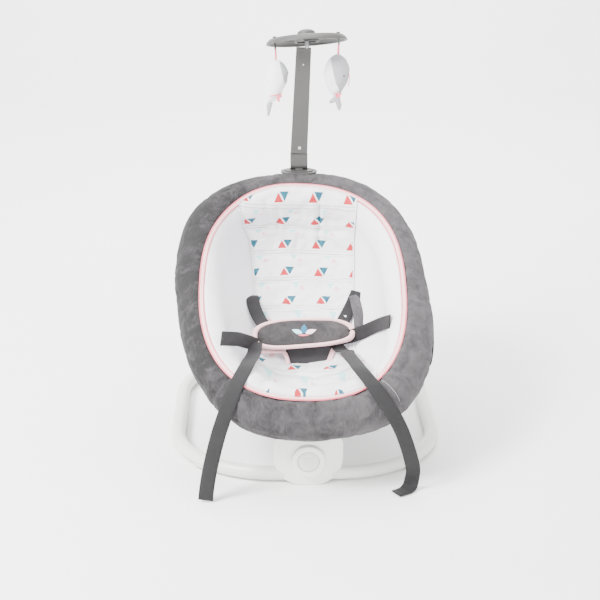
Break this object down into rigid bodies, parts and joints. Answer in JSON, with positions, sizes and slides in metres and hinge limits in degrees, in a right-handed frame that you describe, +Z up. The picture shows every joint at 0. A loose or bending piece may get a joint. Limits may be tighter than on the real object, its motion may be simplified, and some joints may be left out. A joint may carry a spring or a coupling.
{
  "type": "baby bouncer seat",
  "caption": "Padded oval baby seat with lap harness on a bouncing hinge over a tube floor loop, with a front dial unit and a toy bar that carries a spinning mobile.",
  "frame": {"origin": "on the floor under the middle of the overall bounding box", "axes": "+Z up; the seat's foot end and the control unit face -Y; the toy bar stands at the head end, towards +Y; +X to the viewer's right from the front"},
  "size_m": [0.495, 0.6398, 0.7199],
  "materials": {
    "white_steel": "satin off-white powder coat",
    "white_plastic": "satin off-white moulded plastic",
    "grey_plastic": "fine matte warm grey",
    "plush_grey": "short grey plush pile",
    "pad_grey": "dark grey plush with a pink bound edge",
    "webbing_grey": "dark grey woven webbing",
    "fabric_white": "white jersey",
    "print_white": "white jersey with a small coral and teal print",
    "ribbon_pink": "pale pink ribbon and piping",
    "toy_plush": "soft velour",
    "tag_black": "blank black woven tag",
    "steel": "zinc-plated steel",
    "dark_rubber": "dark grey rubber",
    "black_plastic": "black moulded plastic",
    "board": "green circuit board",
    "cell": "wrapped cell",
    "bush": "plain bearing metal"
  },
  "bodies": {
    "base": {"base_tube_left": "white_steel", "base_tube_right": "white_steel", "front_coupler": "steel", "rear_coupler": "steel", "rubber_feet": "dark_rubber", "front_housing": "white_plastic", "rear_housing": "white_plastic", "battery_door": "white_plastic", "battery_tray": "black_plastic", "battery_cells": "cell", "battery_contacts": "steel", "housing_screws": "steel", "hinge_shaft": "steel", "hinge_bushes": "bush", "bounce_spring_left": "steel", "bounce_spring_right": "steel", "motor_can": "steel", "motor_saddle": "black_plastic", "control_board": "board", "rotary_switch": "black_plastic", "tact_switch": "black_plastic"},
    "dial": {"mode_dial": "white_plastic"},
    "button": {"power_button": "white_plastic"},
    "motor_rotor": {"motor_shaft": "steel", "eccentric_weight": "steel"},
    "seat": {"seat_yoke": "grey_plastic", "support_arm_left": "white_steel", "support_arm_right": "white_steel", "arm_clamp_left": "grey_plastic", "arm_clamp_right": "grey_plastic", "ring_tube_front": "steel", "ring_tube_rear": "steel", "ring_joiners": "steel", "rim_cushion": "plush_grey", "rim_piping": "ribbon_pink", "seat_sling": "fabric_white", "back_pad": "print_white", "seat_pad": "print_white", "waist_strap_left": "webbing_grey", "waist_strap_right": "webbing_grey", "crotch_pad": "pad_grey", "crotch_cover": "pad_grey", "harness_buckle": "grey_plastic", "strap_sliders": "grey_plastic", "long_strap_left": "webbing_grey", "long_strap_right": "webbing_grey", "side_tag": "tag_black", "bar_bracket": "grey_plastic"},
    "toy_bar": {"bar_socket": "grey_plastic", "bar_spigot": "grey_plastic", "tilt_pin": "steel", "bar_front_cover": "grey_plastic", "bar_rear_cover": "grey_plastic", "bar_screws": "steel", "mobile_spindle": "steel"},
    "mobile": {"mobile_ring": "grey_plastic", "hub_cap": "grey_plastic", "toy_pegs": "grey_plastic"},
    "toy_left": {"toy_left": "toy_plush"},
    "toy_right": {"toy_right": "toy_plush"}
  },
  "joints": [
    {"name": "dial_turn", "type": "hinge", "parent": "base", "child": "dial", "pos_m": [0, -0.2645, 0.046], "axis": [0, 1, 0], "range_deg": [-135, 135]},
    {"name": "button_press", "type": "slide", "parent": "base", "child": "button", "axis": [0, 1, 0], "range_m": [0, 0.002], "stiffness_N_per_m": 800},
    {"name": "motor_spin", "type": "hinge", "parent": "base", "child": "motor_rotor", "pos_m": [0, -0.184, 0.0385], "axis": [1, 0, 0], "continuous": true},
    {"name": "seat_bounce", "type": "hinge", "parent": "base", "child": "seat", "pos_m": [0, -0.2, 0.06], "axis": [1, 0, 0], "range_deg": [-5, 3], "stiffness_Nm_per_rad": 90, "springref_deg": 4.18},
    {"name": "toy_bar_tilt", "type": "hinge", "parent": "seat", "child": "toy_bar", "pos_m": [-0.004, 0.2, 0.461], "axis": [1, 0, 0], "range_deg": [-30, 15]},
    {"name": "mobile_spin", "type": "hinge", "parent": "toy_bar", "child": "mobile", "pos_m": [0.0115, 0.2025, 0.688], "axis": [-0.0643, 0.2419, 0.9682], "continuous": true},
    {"name": "toy_left_swing", "type": "hinge", "parent": "mobile", "child": "toy_left", "pos_m": [-0.04837, 0.2025, 0.68402], "axis": [0, 1, 0], "range_deg": [-8, 40]},
    {"name": "toy_right_swing", "type": "hinge", "parent": "mobile", "child": "toy_right", "pos_m": [0.07137, 0.2025, 0.69198], "axis": [0, 1, 0], "range_deg": [-40, 8]}
  ]
}
